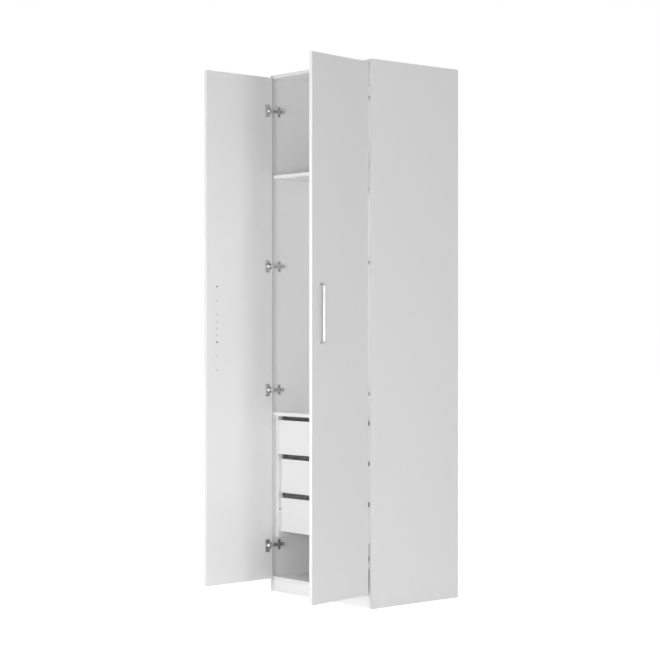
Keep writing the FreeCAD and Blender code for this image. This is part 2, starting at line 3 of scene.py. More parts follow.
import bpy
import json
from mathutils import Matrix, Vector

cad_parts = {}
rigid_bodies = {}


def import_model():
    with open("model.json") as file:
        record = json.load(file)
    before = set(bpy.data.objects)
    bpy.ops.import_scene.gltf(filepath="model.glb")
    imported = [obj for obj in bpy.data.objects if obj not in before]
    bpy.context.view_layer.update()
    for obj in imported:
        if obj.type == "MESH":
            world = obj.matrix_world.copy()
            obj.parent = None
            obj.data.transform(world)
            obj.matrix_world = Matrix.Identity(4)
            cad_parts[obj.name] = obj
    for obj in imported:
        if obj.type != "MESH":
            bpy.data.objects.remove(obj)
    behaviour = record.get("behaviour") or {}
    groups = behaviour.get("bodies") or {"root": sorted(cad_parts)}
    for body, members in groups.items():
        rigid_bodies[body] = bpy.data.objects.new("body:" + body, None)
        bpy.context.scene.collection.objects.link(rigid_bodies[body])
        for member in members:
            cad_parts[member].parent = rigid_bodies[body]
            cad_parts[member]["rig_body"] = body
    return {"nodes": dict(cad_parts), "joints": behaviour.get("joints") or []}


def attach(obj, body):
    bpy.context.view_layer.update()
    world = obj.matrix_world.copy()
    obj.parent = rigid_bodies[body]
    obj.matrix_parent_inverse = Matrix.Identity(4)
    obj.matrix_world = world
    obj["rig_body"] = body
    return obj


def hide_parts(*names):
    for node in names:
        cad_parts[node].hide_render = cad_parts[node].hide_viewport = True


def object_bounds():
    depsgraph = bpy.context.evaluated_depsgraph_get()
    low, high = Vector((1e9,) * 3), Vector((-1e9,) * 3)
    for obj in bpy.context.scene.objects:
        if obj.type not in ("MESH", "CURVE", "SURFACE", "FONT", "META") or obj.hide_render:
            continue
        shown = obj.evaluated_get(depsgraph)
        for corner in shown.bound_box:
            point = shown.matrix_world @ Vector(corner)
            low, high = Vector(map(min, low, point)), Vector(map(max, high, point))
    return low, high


bl_info = {
    "name": "White wardrobe",
    "version": (1, 0, 0),
    "blender": (4, 5, 0),
    "location": "3D View > Sidebar > Wardrobe",
    "description": "Dresses a two-door wardrobe with three drawers and sets its studio",
    "category": "Object",
}

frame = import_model()

import functools
import json
import math

import bmesh
import bpy
from bpy.props import FloatProperty, FloatVectorProperty, IntProperty, PointerProperty
from mathutils import Matrix, Vector

CAD_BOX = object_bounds()
NODES = frame["nodes"]

# Groups of CAD nodes that are finished alike
CARCASS_BOARDS = ("side_left", "side_right", "top_board", "bottom_board", "plinth_front", "plinth_rear",
                  "upper_shelf")
UNIT_BOARDS = ("unit_side_left", "unit_side_right", "unit_top")
BACK_PANELS = ("back_upper", "back_lower")
DRAWERS = (1, 2, 3)
SIDES = ("left", "right")
LOOSE_SCREWS = ("wood_screws", "back_screws")

# Numbers of the axis through a shut door and of the upright axis
THROUGH_DOOR = 1
UPRIGHT = 2

# Meshes: how near points count as one, as on a plane or as off it, in metres
MERGE = 5e-6
ON_PLANE = 10.0 * MERGE
OFF_PLANE = 20.0 * MERGE

# Meshes: angles below which faces are one, and above which a corner is rounded or an edge is shaded sharp
ONE_FACE = math.radians(0.5)
SOFT_CORNER = math.radians(35.0)
SHARP_EDGE = math.radians(25.0)
SHARP_HANDLE_EDGE = math.radians(10.0)

# Meshes: steps in a rounding of boards and fittings, and digits by which sizes and places are compared
BOARD_STEPS = 3
FITTING_STEPS = 2
SIZE_DIGITS = 4
PLACE_DIGITS = 5

# Solids that are read: share of a screw head's radius that is its rim, length of a screw's tip in metres,
# largest radius of a drilled hole in metres and fewest points of its floor
HEAD_RIM = 0.98
TIP_LENGTH = 0.001
LARGEST_HOLE = 0.004
FEWEST_POINTS = 4

# Round shapes: sides of a screw or a hole liner, and of a cam disc
ROUND_SIDES = 24
DISC_SIDES = 40

# Screws: the point's length and end over the shank's radius, and rises and scales up the head
POINT_LENGTH = 1.5
POINT_END = 0.25
HEAD_STEPS = ((0.45, 1.0), (0.35, 0.94), (0.20, 0.80))

# Cam discs: the drum's share of the height, and rises and scales over the drum
DISC_DRUM = 0.95
DISC_STEPS = ((0.05, 0.93), (0.0, 0.86), (-0.04, 0.98))

# Driver's crosses: length over the head's radius, and depth over the height of a screw head or a disc
CROSS_LENGTH = 1.1
HEAD_CROSS_DEPTH = 0.7
DISC_CROSS_DEPTH = 0.25

# Hole liners: room between a liner and its hole in metres, and the way out of a shut door's inner face
LINER_SLACK = 0.00003
OUT_OF_DOOR = Vector((0.0, 1.0, 0.0))

# Patterns of the finishes: scale of each texture over metres
WEAR_PATCHES = 60.0
PEARL_WAVES = 140.0
PEARL_CLOUDS = 2.3
PEARL_SPECKS = 420.0
BRUSH_SMEARS = 35.0
ZINC_SCUFFS = 900.0
SKIN_CLOUDS = 30.0
CORE_CHIPS = 900.0
BEECH_LINES = 1400.0
BEECH_FLECKS = 700.0
FLOOR_CLOUDS = 0.8

# Lines of the finishes: stretch of their texture, small along the lines
THREADS = ((1.0, 0.04, 0.04), (0.04, 1.0, 0.04), (0.04, 0.04, 1.0))
WEAVE_STREAKS = (0.1, 0.1, 1.0)
UPRIGHT_LINES = (1.0, 1.0, 0.02)
RAIL_LINES = (0.02, 1.0, 1.0)
DOWEL_LINES = (0.03, 1.0, 1.0)

# Relief of the finishes: depth in metres, and strength
PEARL_RELIEF = (0.00004, 0.6)
WEAVE_RELIEF = (0.00006, 0.7)
SKIN_RELIEF = (0.00003, 0.6)
CHIP_RELIEF = (0.0002, 0.8)
ZINC_RELIEF = (0.00001, 0.5)
BRUSH_RELIEF = (0.000006, 0.5)
BEECH_RELIEF = (0.00005, 0.7)

# Board facing: metres that keep its broad faces from counting as edges, roughness, how much smoother the band
# is, and how dark glue lines and rubbed edges are
BROAD_FACE_OFF = 10.0
FACING_ROUGH = 0.42
BAND_SMOOTHER = 0.07
GLUE_DARK = 0.14
RUBBED_DARK = 0.05

# Roughness of lined finishes, added to that of their lines
SATIN_ROUGH = -0.12
CHROME_ROUGH = -0.2
BEECH_ROUGH = 0.35

# Stage: the floor's gap under the wardrobe in metres, its roughness and its gloss
FLOOR_DROP = 0.0002
FLOOR_ROUGH = 0.9
FLOOR_GLOSS = 0.1
PURE_WHITE = (1.0, 1.0, 1.0, 1.0)

# Photograph: its width, the column and row that the lens axis meets, and the focal length, in pixels
IMAGE_WIDTH = 660.0
AXIS_COLUMN = 502.15
AXIS_ROW = 326.6
FOCAL_PIXELS = 1793.0


def length_setting(name, description, default):
    """Setting of a length in metres."""
    return FloatProperty(name=name, description=description, default=default, unit="LENGTH")


def power_setting(name, description, default):
    """Setting of a lamp's power in watts."""
    return FloatProperty(name=name, description=description, default=default, unit="POWER")


def angle_setting(name, description, degrees):
    """Setting of an angle, with its default in degrees."""
    return FloatProperty(name=name, description=description, default=math.radians(degrees), subtype="ANGLE")


def point_setting(name, description, default):
    """Setting of a point in metres."""
    return FloatVectorProperty(name=name, description=description, default=default, subtype="XYZ",
                               unit="LENGTH")


def colour_setting(name, description, default):
    """Setting of a colour."""
    return FloatVectorProperty(name=name, description=description, default=default, subtype="COLOR",
                               min=0.0, max=1.0)


class WardrobeBoards(bpy.types.PropertyGroup):
    """Sizes and colours of the boards"""

    edge_radius: length_setting("Edge radius", "Rounding of a board's outer edges", 0.0009)
    thin_radius: length_setting("Thin edge radius", "Rounding of the back panels' edges", 0.0003)
    band: length_setting("Edge band", "Thickness of the glued edge band", 0.0012)
    white: colour_setting("Board white", "Colour of the white facing", (0.87, 0.87, 0.87))
    band_white: colour_setting("Band white", "Colour of the glued edge band", (0.81, 0.81, 0.81))
    # The drawer fronts take a darker white than the boards' white: painted shade for the fronts set back in
    # the unit
    front_white_painted_shade: colour_setting("Drawer front white with painted shade", "Colour of the drawer fronts", (0.78, 0.78, 0.78))
    back_white: colour_setting("Back white", "Colour of the lacquered back panels", (0.85, 0.85, 0.85))
    drawer_grey: colour_setting("Drawer grey", "Colour of the drawer boxes' print", (0.070, 0.070, 0.073))
    core: colour_setting("Bare core", "Colour of the bare board inside a drilled hole", (0.17, 0.165, 0.16))
    beech: colour_setting("Beech", "Colour of the dowels", (0.62, 0.47, 0.31))


class WardrobeFittings(bpy.types.PropertyGroup):
    """Sizes and colours of the fittings"""

    metal_radius: length_setting("Metal radius", "Rounding of the hinges' and runners' edges", 0.00025)
    handle_radius: length_setting("Handle radius", "Rounding of the handles' edges", 0.0006)
    plastic_radius: length_setting("Plastic radius", "Rounding of the moulded pieces' edges", 0.0004)
    recess_share: FloatProperty(name="Recess width", description="Width of a driver's cross over its head's",
                                default=0.16, subtype="FACTOR", min=0.05, max=0.4)
    liner_wall: length_setting("Liner wall", "Thickness of the bare board shown in a drilled hole", 0.0002)
    spin_seed: IntProperty(name="Screw seed", description="Seed of the angles at which the screws were left",
                           default=7)
    zinc: colour_setting("Zinc", "Colour of the plated steel", (0.58, 0.58, 0.58))
    # Lighter copy of the zinc for the hinges' cups and links: a painted highlight that stands in for their
    # white glint
    zinc_painted_highlight: colour_setting("Bright zinc", "Colour of the hinges' cups and links", (0.69, 0.69, 0.69))
    satin: colour_setting("Satin metal", "Colour of the brushed handles", (0.54, 0.54, 0.54))
    dark_zinc: colour_setting("Dark zinc", "Colour of the passivated screws", (0.30, 0.30, 0.30))
    black: colour_setting("Black steel", "Colour of the blackened screws", (0.045, 0.045, 0.047))
    chrome: colour_setting("Chrome", "Colour of the polished clothes rail", (0.80, 0.80, 0.80))
    plastic: colour_setting("Plastic", "Colour of the moulded plastic", (0.80, 0.80, 0.80))


class WardrobeStage(bpy.types.PropertyGroup):
    """Camera, lights and floor"""

    eye: point_setting("Camera", "Where the camera stands", (6.5719, -5.2838, 1.2546))
    turn: angle_setting("Camera turn", "Turn of the level camera about the upright axis", 46.771)
    sensor: FloatProperty(name="Sensor", description="Width of the sensor in millimetres", default=36.0)
    floor_size: length_setting("Floor", "Side of the square floor", 60.0)
    floor_white: colour_setting("Floor white", "Colour of the floor", (0.94, 0.94, 0.94))
    floor_glow: FloatProperty(name="Floor glow", default=0.75,
                              description="Brightness that the eye and gloss see in the floor")
    sky: FloatProperty(name="Sky", description="Strength of the even light from all round", default=0.31)
    key_power: power_setting("Key power", "Power of the front softbox", 31.5)
    key_size: length_setting("Key size", "Side of the front softbox", 0.7)
    key_place: point_setting("Key place", "Where the front softbox hangs", (0.5, -3.3, 1.3))
    far_power: power_setting("Far power", "Power of the softbox far in front", 165.0)
    far_size: length_setting("Far size", "Side of the softbox far in front", 1.9)
    far_place: point_setting("Far place", "Where the softbox far in front hangs", (3.9, -11.3, 1.2))
    fill_power: power_setting("Fill power", "Power of the softbox at the front right", 33.0)
    fill_size: length_setting("Fill size", "Side of the softbox at the front right", 2.0)
    fill_place: point_setting("Fill place", "Where the softbox at the front right hangs", (3.5, -4.86, 1.4))
    side_power: power_setting("Side power", "Power of the softbox at the right", 71.0)
    side_size: length_setting("Side size", "Side of the softbox at the right", 0.85)
    side_place: point_setting("Side place", "Where the softbox at the right hangs", (6.2, -2.33, 1.1))
    rim_power: power_setting("Rim power", "Power of the softbox behind at the right", 1.9)
    rim_size: length_setting("Rim size", "Side of the softbox behind at the right", 0.8)
    rim_place: point_setting("Rim place", "Where the softbox behind at the right hangs", (2.92, 3.79, 1.36))
    top_power: power_setting("Top power", "Power of the softbox overhead", 22.0)
    top_size: length_setting("Top size", "Side of the softbox overhead", 6.0)
    top_spread: angle_setting("Top spread", "Width of the overhead beam", 40.0)
    top_place: point_setting("Top place", "Where the softbox overhead hangs", (0.5, -0.6, 5.5))


class Wiring:
    """Adds nodes to a tree, and sets or links their inputs."""

    def __init__(self, tree):
        self.tree = tree

    def feed(self, socket, value):
        """Links a socket to another one, or sets its value."""
        if isinstance(value, bpy.types.NodeSocket):
            self.tree.links.new(value, socket)
        else:
            socket.default_value = value

    def add(self, kind, inputs=None, **settings):
        """New node of a kind, with settings and with inputs given by name or number."""
        node = self.tree.nodes.new(kind)
        for name, value in settings.items():
            setattr(node, name, value)
        for key, value in (inputs or {}).items():
            self.feed(node.inputs[key], value)
        return node

    def group(self, tree, inputs):
        """Outputs of a shader group that is placed with its inputs."""
        return self.add("ShaderNodeGroup", inputs, node_tree=tree).outputs

    def math(self, operation, first, second=0.0):
        """Result of a Math node."""
        return self.add("ShaderNodeMath", {0: first, 1: second}, operation=operation).outputs[0]

    def vector(self, operation, first, second):
        """Result of a Vector Math node."""
        return self.add("ShaderNodeVectorMath", {0: first, 1: second}, operation=operation).outputs[0]

    def scaled(self, vector, factor):
        """Vector or colour times a factor."""
        return self.add("ShaderNodeVectorMath", {0: vector, "Scale": factor}, operation="SCALE").outputs[0]

    def turned(self, vector, axis, angle, pivot=(0.0, 0.0, 0.0)):
        """Vector turned by an angle about an axis through a pivot."""
        sockets = {"Vector": vector, "Center": pivot, "Angle": angle}
        return self.add("ShaderNodeVectorRotate", sockets, rotation_type=axis).outputs[0]

    def upright(self, height):
        """Vector that points up by a height."""
        return self.add("ShaderNodeCombineXYZ", {"Z": height}).outputs[0]

    def ramp(self, value, start, end, low=0.0, high=1.0):
        """Value carried smoothly from one range to another."""
        sockets = {"Value": value, 1: start, 2: end, 3: low, 4: high}
        return self.add("ShaderNodeMapRange", sockets, interpolation_type="SMOOTHSTEP").outputs[0]

    def swing(self, value, width=1.0):
        """Value about one half, such as a noise, as a swing of a width about zero."""
        return self.math("MULTIPLY", self.math("SUBTRACT", value, 0.5), width)

    def mix(self, factor, first, second):
        """Colour between two colours."""
        return self.add("ShaderNodeMix", {0: factor, 6: first, 7: second}, data_type="RGBA").outputs[2]

    def noise(self, vector, scale, detail=2.0, roughness=0.5):
        """Value of a noise texture."""
        sockets = {"Vector": vector, "Scale": scale, "Detail": detail, "Roughness": roughness}
        return self.add("ShaderNodeTexNoise", sockets).outputs["Fac"]

    def cells(self, vector, scale):
        """Chance value of each cell of a Voronoi texture, and the distance from the cell's middle."""
        found = self.add("ShaderNodeTexVoronoi", {"Vector": vector, "Scale": scale}).outputs
        return self.add("ShaderNodeSeparateColor", {0: found["Color"]}).outputs[0], found["Distance"]


def node_group(name, kind, inputs, outputs):
    """New node group with named sockets, as its wiring, its inputs' sockets and its outputs' sockets."""
    tree = bpy.data.node_groups.new(name, kind)
    for label, socket_type, default in inputs:
        socket = tree.interface.new_socket(label, in_out="INPUT", socket_type="NodeSocket" + socket_type)
        if default is not None:
            socket.default_value = default
    for label, socket_type in outputs:
        tree.interface.new_socket(label, in_out="OUTPUT", socket_type="NodeSocket" + socket_type)
    wiring = Wiring(tree)
    return wiring, wiring.add("NodeGroupInput").outputs, wiring.add("NodeGroupOutput").inputs


def shader_group(name, vectors, values, outputs):
    """New shader group that takes vectors and values, and puts out values."""
    inputs = [(label, "Vector", None) for label in vectors]
    inputs += [(label, "Float", default) for label, default in values.items()]
    return node_group(name, "ShaderNodeTree", inputs, [(label, "Float") for label in outputs])


def shape_group(name, sizes):
    """New Geometry Nodes tree of a shape that is set on points, with its sizes as inputs."""
    inputs = [("Geometry", "Geometry", None)]
    inputs += [(label, "Float", default) for label, default in sizes.items()]
    inputs += [("Seed", "Int", 0), ("Material", "Material", None)]
    return node_group(name, "GeometryNodeTree", inputs, [("Geometry", "Geometry")])


def made_once(name):
    """Lets a function give the node group of a name, which it makes the first time."""
    def keep(make):
        @functools.wraps(make)
        def fetch():
            return bpy.data.node_groups.get(name) or make(name)
        return fetch
    return keep


@made_once("Board skin")
def board_skin(name):
    """Group that tells a board's glued edges and glue lines from its broad faces."""
    w, given, result = shader_group(name, ("Place", "Low", "High", "Through"), {"Band": 0.001},
                                    ("Edge", "Line", "Wear"))
    from_low = w.vector("SUBTRACT", given["Place"], given["Low"])
    from_high = w.vector("SUBTRACT", given["High"], given["Place"])
    off = w.scaled(given["Through"], BROAD_FACE_OFF)
    inset = w.vector("ADD", w.vector("MINIMUM", from_low, from_high), off)
    parts = w.add("ShaderNodeSeparateXYZ", {0: inset}).outputs
    nearest = w.math("MINIMUM", w.math("MINIMUM", parts[0], parts[1]), parts[2])
    bands = w.math("DIVIDE", nearest, given["Band"])
    w.feed(result["Edge"], w.ramp(bands, 0.55, 0.75, 1.0, 0.0))
    from_line = w.math("ABSOLUTE", w.math("SUBTRACT", bands, 1.0))
    w.feed(result["Line"], w.ramp(from_line, 0.05, 0.15, 1.0, 0.0))
    patches = w.noise(given["Place"], WEAR_PATCHES, 3.0)
    corner = w.ramp(bands, 0.0, 2.0, 1.0, 0.0)
    w.feed(result["Wear"], w.math("MULTIPLY", corner, w.ramp(patches, 0.55, 0.75)))
    return w.tree


@made_once("Pearl grain")
def pearl_grain(name):
    """Group with the fine pearl pressed into melamine facing, and its faint clouding."""
    w, given, result = shader_group(name, ("Place",), {"Fine": 900.0, "Cloud": 0.01},
                                    ("Height", "Tone", "Gloss"))
    pearl = w.noise(given["Place"], given["Fine"])
    waves = w.noise(given["Place"], PEARL_WAVES, 1.0)
    w.feed(result["Height"], w.math("ADD", pearl, w.math("MULTIPLY", waves, 0.6)))
    clouds = w.swing(w.noise(given["Place"], PEARL_CLOUDS, 3.0))
    specks = w.swing(w.noise(given["Place"], PEARL_SPECKS), 0.8)
    drift = w.math("MULTIPLY", w.math("ADD", clouds, specks), given["Cloud"])
    w.feed(result["Tone"], w.math("ADD", 1.0, drift))
    w.feed(result["Gloss"], w.swing(waves, 0.08))
    return w.tree


@made_once("Woven print")
def woven_print(name):
    """Group with the woven print of the drawer boxes: warp and weft threads on all faces."""
    w, given, result = shader_group(name, ("Place",), {"Threads": 700.0, "Streaks": 170.0},
                                    ("Height", "Tone"))
    first, second, third = (w.noise(w.vector("MULTIPLY", given["Place"], stretch), given["Threads"])
                            for stretch in THREADS)
    weave = w.math("DIVIDE", w.math("ADD", w.math("ADD", first, second), third), 3.0)
    streak = w.noise(w.vector("MULTIPLY", given["Place"], WEAVE_STREAKS), given["Streaks"], 3.0, 0.65)
    w.feed(result["Height"], weave)
    w.feed(result["Tone"], w.math("MULTIPLY", w.ramp(weave, 0.35, 0.65, 0.8, 1.25),
                                  w.ramp(streak, 0.32, 0.68, 0.30, 1.45)))
    return w.tree


@made_once("Straight lines")
def straight_lines(name):
    """Group with brushing lines or wood grain along one axis, given by a stretch that is small along it."""
    w, given, result = shader_group(name, ("Place", "Stretch"), {"Lines": 2500.0},
                                    ("Height", "Tone", "Rough"))
    lines = w.noise(w.vector("MULTIPLY", given["Place"], given["Stretch"]), given["Lines"], 3.0, 0.6)
    smears = w.swing(w.noise(given["Place"], BRUSH_SMEARS), 0.10)
    w.feed(result["Height"], lines)
    w.feed(result["Tone"], w.ramp(lines, 0.3, 0.7, 0.94, 1.05))
    w.feed(result["Rough"], w.math("ADD", w.ramp(lines, 0.3, 0.7, 0.24, 0.36), smears))
    return w.tree


@made_once("Zinc plate")
def zinc_plate(name):
    """Group with the faint crystal patches of plated steel and its rubbed spots."""
    w, given, result = shader_group(name, ("Place",), {"Patches": 260.0}, ("Height", "Tone", "Rough"))
    patch, _ = w.cells(given["Place"], given["Patches"])
    scuff = w.noise(given["Place"], ZINC_SCUFFS, 3.0)
    w.feed(result["Height"], scuff)
    w.feed(result["Tone"], w.math("ADD", w.ramp(patch, 0.0, 1.0, 0.96, 1.03), w.swing(scuff, 0.08)))
    w.feed(result["Rough"], w.math("ADD", w.ramp(patch, 0.0, 1.0, 0.24, 0.34), w.swing(scuff, 0.10)))
    return w.tree


@made_once("Moulded skin")
def moulded_skin(name):
    """Group with the spark-eroded grain of moulded plastic and lacquered fibre board."""
    w, given, result = shader_group(name, ("Place",), {"Fine": 1400.0, "Cloud": 0.04},
                                    ("Height", "Tone", "Rough"))
    grain = w.noise(given["Place"], given["Fine"], 3.0)
    clouds = w.swing(w.noise(given["Place"], SKIN_CLOUDS, 3.0), given["Cloud"])
    w.feed(result["Height"], grain)
    w.feed(result["Tone"], w.math("ADD", 1.0, clouds))
    w.feed(result["Rough"], w.ramp(grain, 0.3, 0.7, 0.42, 0.58))
    return w.tree


def new_material(name):
    """New node material, as the material, its wiring, its shader and its Object coordinates."""
    material = bpy.data.materials.new(name)
    material.use_nodes = True
    w = Wiring(material.node_tree)
    shader = material.node_tree.nodes["Principled BSDF"]
    place = w.add("ShaderNodeTexCoord").outputs["Object"]
    return material, w, shader, place


def finish(w, shader, base, rough, height, relief, metallic=0.0):
    """Feeds a shader's colour, roughness and metal share, and its normal from a height and a relief."""
    depth, strength = relief
    bump = w.add("ShaderNodeBump", {"Height": height, "Distance": depth, "Strength": strength})
    w.feed(shader.inputs["Base Color"], base)
    w.feed(shader.inputs["Roughness"], rough)
    w.feed(shader.inputs["Metallic"], metallic)
    w.feed(shader.inputs["Normal"], bump.outputs["Normal"])


def board_material(name, low, high, white, turn, pivot):
    """Satin melamine facing with a glued edge band, for the board with these corners when it is shut."""
    boards = bpy.context.scene.wardrobe_boards
    material, w, shader, place = new_material(name)
    if turn:
        place = w.turned(place, "Z_AXIS", turn, pivot)
    size = high - low
    thin = min(range(3), key=lambda axis: size[axis])
    through = [1.0 if axis == thin else 0.0 for axis in range(3)]
    skin = w.group(board_skin(), {"Place": place, "Low": low, "High": high, "Through": through,
                                  "Band": boards.band})
    grain = w.group(pearl_grain(), {"Place": place})
    facing = w.scaled(w.mix(skin["Edge"], (*white, 1.0), (*boards.band_white, 1.0)), grain["Tone"])
    glue = w.math("MULTIPLY", skin["Line"], GLUE_DARK)
    rubbed = w.math("MULTIPLY", skin["Wear"], RUBBED_DARK)
    facing = w.scaled(facing, w.math("SUBTRACT", 1.0, w.math("ADD", glue, rubbed)))
    smoother = w.math("MULTIPLY", skin["Edge"], BAND_SMOOTHER)
    rough = w.math("SUBTRACT", w.math("ADD", FACING_ROUGH, grain["Gloss"]), smoother)
    finish(w, shader, facing, rough, w.math("SUBTRACT", grain["Height"], skin["Line"]), PEARL_RELIEF)
    return material


def drawer_material(name, turn=0.0):
    """Dark grey foil with a woven print, for the drawer boxes; the print can be turned about the width."""
    material, w, shader, place = new_material(name)
    if turn:
        place = w.turned(place, "X_AXIS", turn)
    weave = w.group(woven_print(), {"Place": place})
    base = w.scaled(bpy.context.scene.wardrobe_boards.drawer_grey, weave["Tone"])
    rough = w.ramp(weave["Height"], 0.3, 0.7, 0.5, 0.66)
    finish(w, shader, base, rough, weave["Height"], WEAVE_RELIEF)
    return material


def fibre_material(name, base):
    """Lacquered fibre board or moulded plastic of one colour, with its grain."""
    material, w, shader, place = new_material(name)
    skin = w.group(moulded_skin(), {"Place": place})
    finish(w, shader, w.scaled(base, skin["Tone"]), skin["Rough"], skin["Height"], SKIN_RELIEF)
    return material


def core_material():
    """Bare chipboard that shows inside a drilled hole."""
    material, w, shader, place = new_material("Bare chipboard")
    chip, depth = w.cells(place, CORE_CHIPS)
    base = w.scaled(bpy.context.scene.wardrobe_boards.core, w.ramp(chip, 0.0, 1.0, 0.6, 1.5))
    finish(w, shader, base, w.ramp(chip, 0.0, 1.0, 0.75, 0.95), depth, CHIP_RELIEF)
    return material


def plated_material(name, base):
    """Plated steel of one colour, for hinges, runners and screws."""
    material, w, shader, place = new_material(name)
    plate = w.group(zinc_plate(), {"Place": place})
    tone = w.scaled(base, plate["Tone"])
    finish(w, shader, tone, plate["Rough"], plate["Height"], ZINC_RELIEF, metallic=1.0)
    return material


def brushed_material(name, base, stretch, rougher):
    """Brushed or polished metal with its lines along one axis."""
    material, w, shader, place = new_material(name)
    lines = w.group(straight_lines(), {"Place": place, "Stretch": stretch})
    tone = w.scaled(base, lines["Tone"])
    rough = w.math("ADD", lines["Rough"], rougher)
    finish(w, shader, tone, rough, lines["Height"], BRUSH_RELIEF, metallic=1.0)
    return material


def beech_material():
    """Plain turned beech of the dowels, its grain along them."""
    material, w, shader, place = new_material("Beech")
    lines = w.group(straight_lines(), {"Place": place, "Stretch": DOWEL_LINES, "Lines": BEECH_LINES})
    fleck = w.ramp(w.noise(place, BEECH_FLECKS), 0.62, 0.70, 1.0, 0.8)
    base = w.scaled(w.scaled(bpy.context.scene.wardrobe_boards.beech, lines["Tone"]), fleck)
    finish(w, shader, base, w.math("ADD", lines["Rough"], BEECH_ROUGH), lines["Height"], BEECH_RELIEF)
    return material


def shared(name, make, *values):
    """Material of a name, which a function makes the first time."""
    return bpy.data.materials.get(name) or make(name, *values)


def woven():
    """The one woven material of upright boards."""
    return shared("Drawer woven grey", drawer_material)


def zinc():
    """The one zinc material."""
    return shared("Zinc plated steel", plated_material, bpy.context.scene.wardrobe_fittings.zinc)


def plastic():
    """The one plastic material."""
    return shared("Moulded plastic", fibre_material, bpy.context.scene.wardrobe_fittings.plastic)


def screw_steel(slot):
    """The one material of a slot's screws."""
    fittings = bpy.context.scene.wardrobe_fittings
    base = {"dark_zinc": fittings.dark_zinc, "black_steel": fittings.black}[slot]
    return shared("Steel " + slot, plated_material, base)


def shut_to_rest(node):
    """Turn that carries a node from its place with its door shut to its place in the frame.

    It comes with its angle about the upright axis and its pivot. A node that rides on no door has none."""
    body = NODES[node]["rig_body"]
    for joint in frame["joints"]:
        if joint["child"] == body and joint["type"] == "hinge":
            pivot = Vector(joint["pos_m"])
            angle = -math.radians(joint["range_deg"][0]) * joint["axis"][UPRIGHT]
            turn = Matrix.Translation(pivot) @ Matrix.Rotation(angle, 4, "Z") @ Matrix.Translation(-pivot)
            return turn, angle, pivot
    return Matrix.Identity(4), 0.0, Vector()


def merged_copy(node):
    """Copy of a CAD node's mesh with its loose triangles joined, in its place with the doors shut."""
    form = bmesh.new()
    form.from_mesh(NODES[node].data)
    bmesh.ops.remove_doubles(form, verts=form.verts, dist=MERGE)
    bmesh.ops.transform(form, matrix=shut_to_rest(node)[0].inverted(), verts=form.verts)
    return form


def whole_faces(node):
    """Merged copy of a CAD node in which the triangles of each flat face are one face."""
    form = merged_copy(node)
    bmesh.ops.dissolve_limit(form, angle_limit=ONE_FACE, verts=form.verts, edges=form.edges)
    return form


def corners(verts):
    """Lowest and highest corner of the box round some vertices."""
    low = Vector([min(vert.co[axis] for vert in verts) for axis in range(3)])
    high = Vector([max(vert.co[axis] for vert in verts) for axis in range(3)])
    return low, high


def centre_of(verts):
    """Middle of the box round some vertices."""
    low, high = corners(verts)
    return (low + high) / 2.0


def radius_about(vert, centre, axis):
    """Distance of a vertex from the line through a centre along an axis."""
    offset = vert.co - centre
    offset[axis] = 0.0
    return offset.length


def islands(form):
    """Vertices of a mesh in the making, as one list for each separate solid."""
    waiting = set(form.verts)
    found = []
    while waiting:
        reach = [waiting.pop()]
        solid = []
        while reach:
            vert = reach.pop()
            solid.append(vert)
            for edge in vert.link_edges:
                other = edge.other_vert(vert)
                if other in waiting:
                    waiting.remove(other)
                    reach.append(other)
        found.append(solid)
    return sorted(found, key=lambda solid: tuple(round(c, PLACE_DIGITS) for c in centre_of(solid)))


def box_planes(vert, low, high):
    """The sides of a box that a vertex lies on."""
    planes = set()
    for axis in range(3):
        for side, level in enumerate((low[axis], high[axis])):
            if abs(vert.co[axis] - level) < ON_PLANE:
                planes.add((axis, side))
    return planes


def to_mesh(form, name, turn):
    """Plain mesh from a mesh in the making, which is carried by a turn and freed."""
    bmesh.ops.transform(form, matrix=turn, verts=form.verts)
    mesh = bpy.data.meshes.new(name)
    form.to_mesh(mesh)
    form.free()
    return mesh


def shade(mesh, smooth, limit=SHARP_EDGE):
    """Smooth shading with sharp edges where faces meet at more than an angle, or flat shading."""
    mesh.polygons.foreach_set("use_smooth", [smooth] * len(mesh.polygons))
    if smooth:
        mesh.set_sharp_from_angle(angle=limit)
    mesh.update()


def add_piece(name, mesh, node, material, replace=True):
    """Piece at the origin that rides with a CAD node, takes a material and stands for the node."""
    mesh.name = name
    mesh.materials.clear()
    mesh.materials.append(material)
    piece = bpy.data.objects.new(name, mesh)
    bpy.context.scene.collection.objects.link(piece)
    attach(piece, NODES[node]["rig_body"])
    if replace:
        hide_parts(node)


def rounded_board(node, radius, material=None, white=None):
    """Board, or several like boards, with outer edges rounded, in place of a CAD node."""
    form = whole_faces(node)
    outer = []
    for solid in islands(form):
        low, high = corners(solid)
        planes = {vert: box_planes(vert, low, high) for vert in solid}
        for edge in {edge for vert in solid for edge in vert.link_edges}:
            if len(planes[edge.verts[0]] & planes[edge.verts[1]]) >= 2:
                outer.append(edge)
    low, high = corners(form.verts)
    bmesh.ops.bevel(form, geom=outer, offset=radius, segments=BOARD_STEPS, profile=0.5, affect="EDGES",
                    clamp_overlap=True)
    turn, angle, pivot = shut_to_rest(node)
    if material is None:
        white = white or bpy.context.scene.wardrobe_boards.white
        material = board_material("White board " + node, low, high, white, -angle, pivot)
    mesh = to_mesh(form, node, turn)
    shade(mesh, False)
    add_piece(node + "_board", mesh, node, material)


def softened(node, radius, material, limit=SHARP_EDGE):
    """Fitting with its outside corners rounded, in place of a CAD node."""
    form = whole_faces(node)
    crisp = [edge for edge in form.edges
             if len(edge.link_faces) == 2 and edge.calc_face_angle_signed(0.0) > SOFT_CORNER]
    bmesh.ops.bevel(form, geom=crisp, offset=radius, segments=FITTING_STEPS, profile=0.5, affect="EDGES",
                    clamp_overlap=False)
    mesh = to_mesh(form, node, shut_to_rest(node)[0])
    shade(mesh, True, limit)
    add_piece(node + "_form", mesh, node, material)


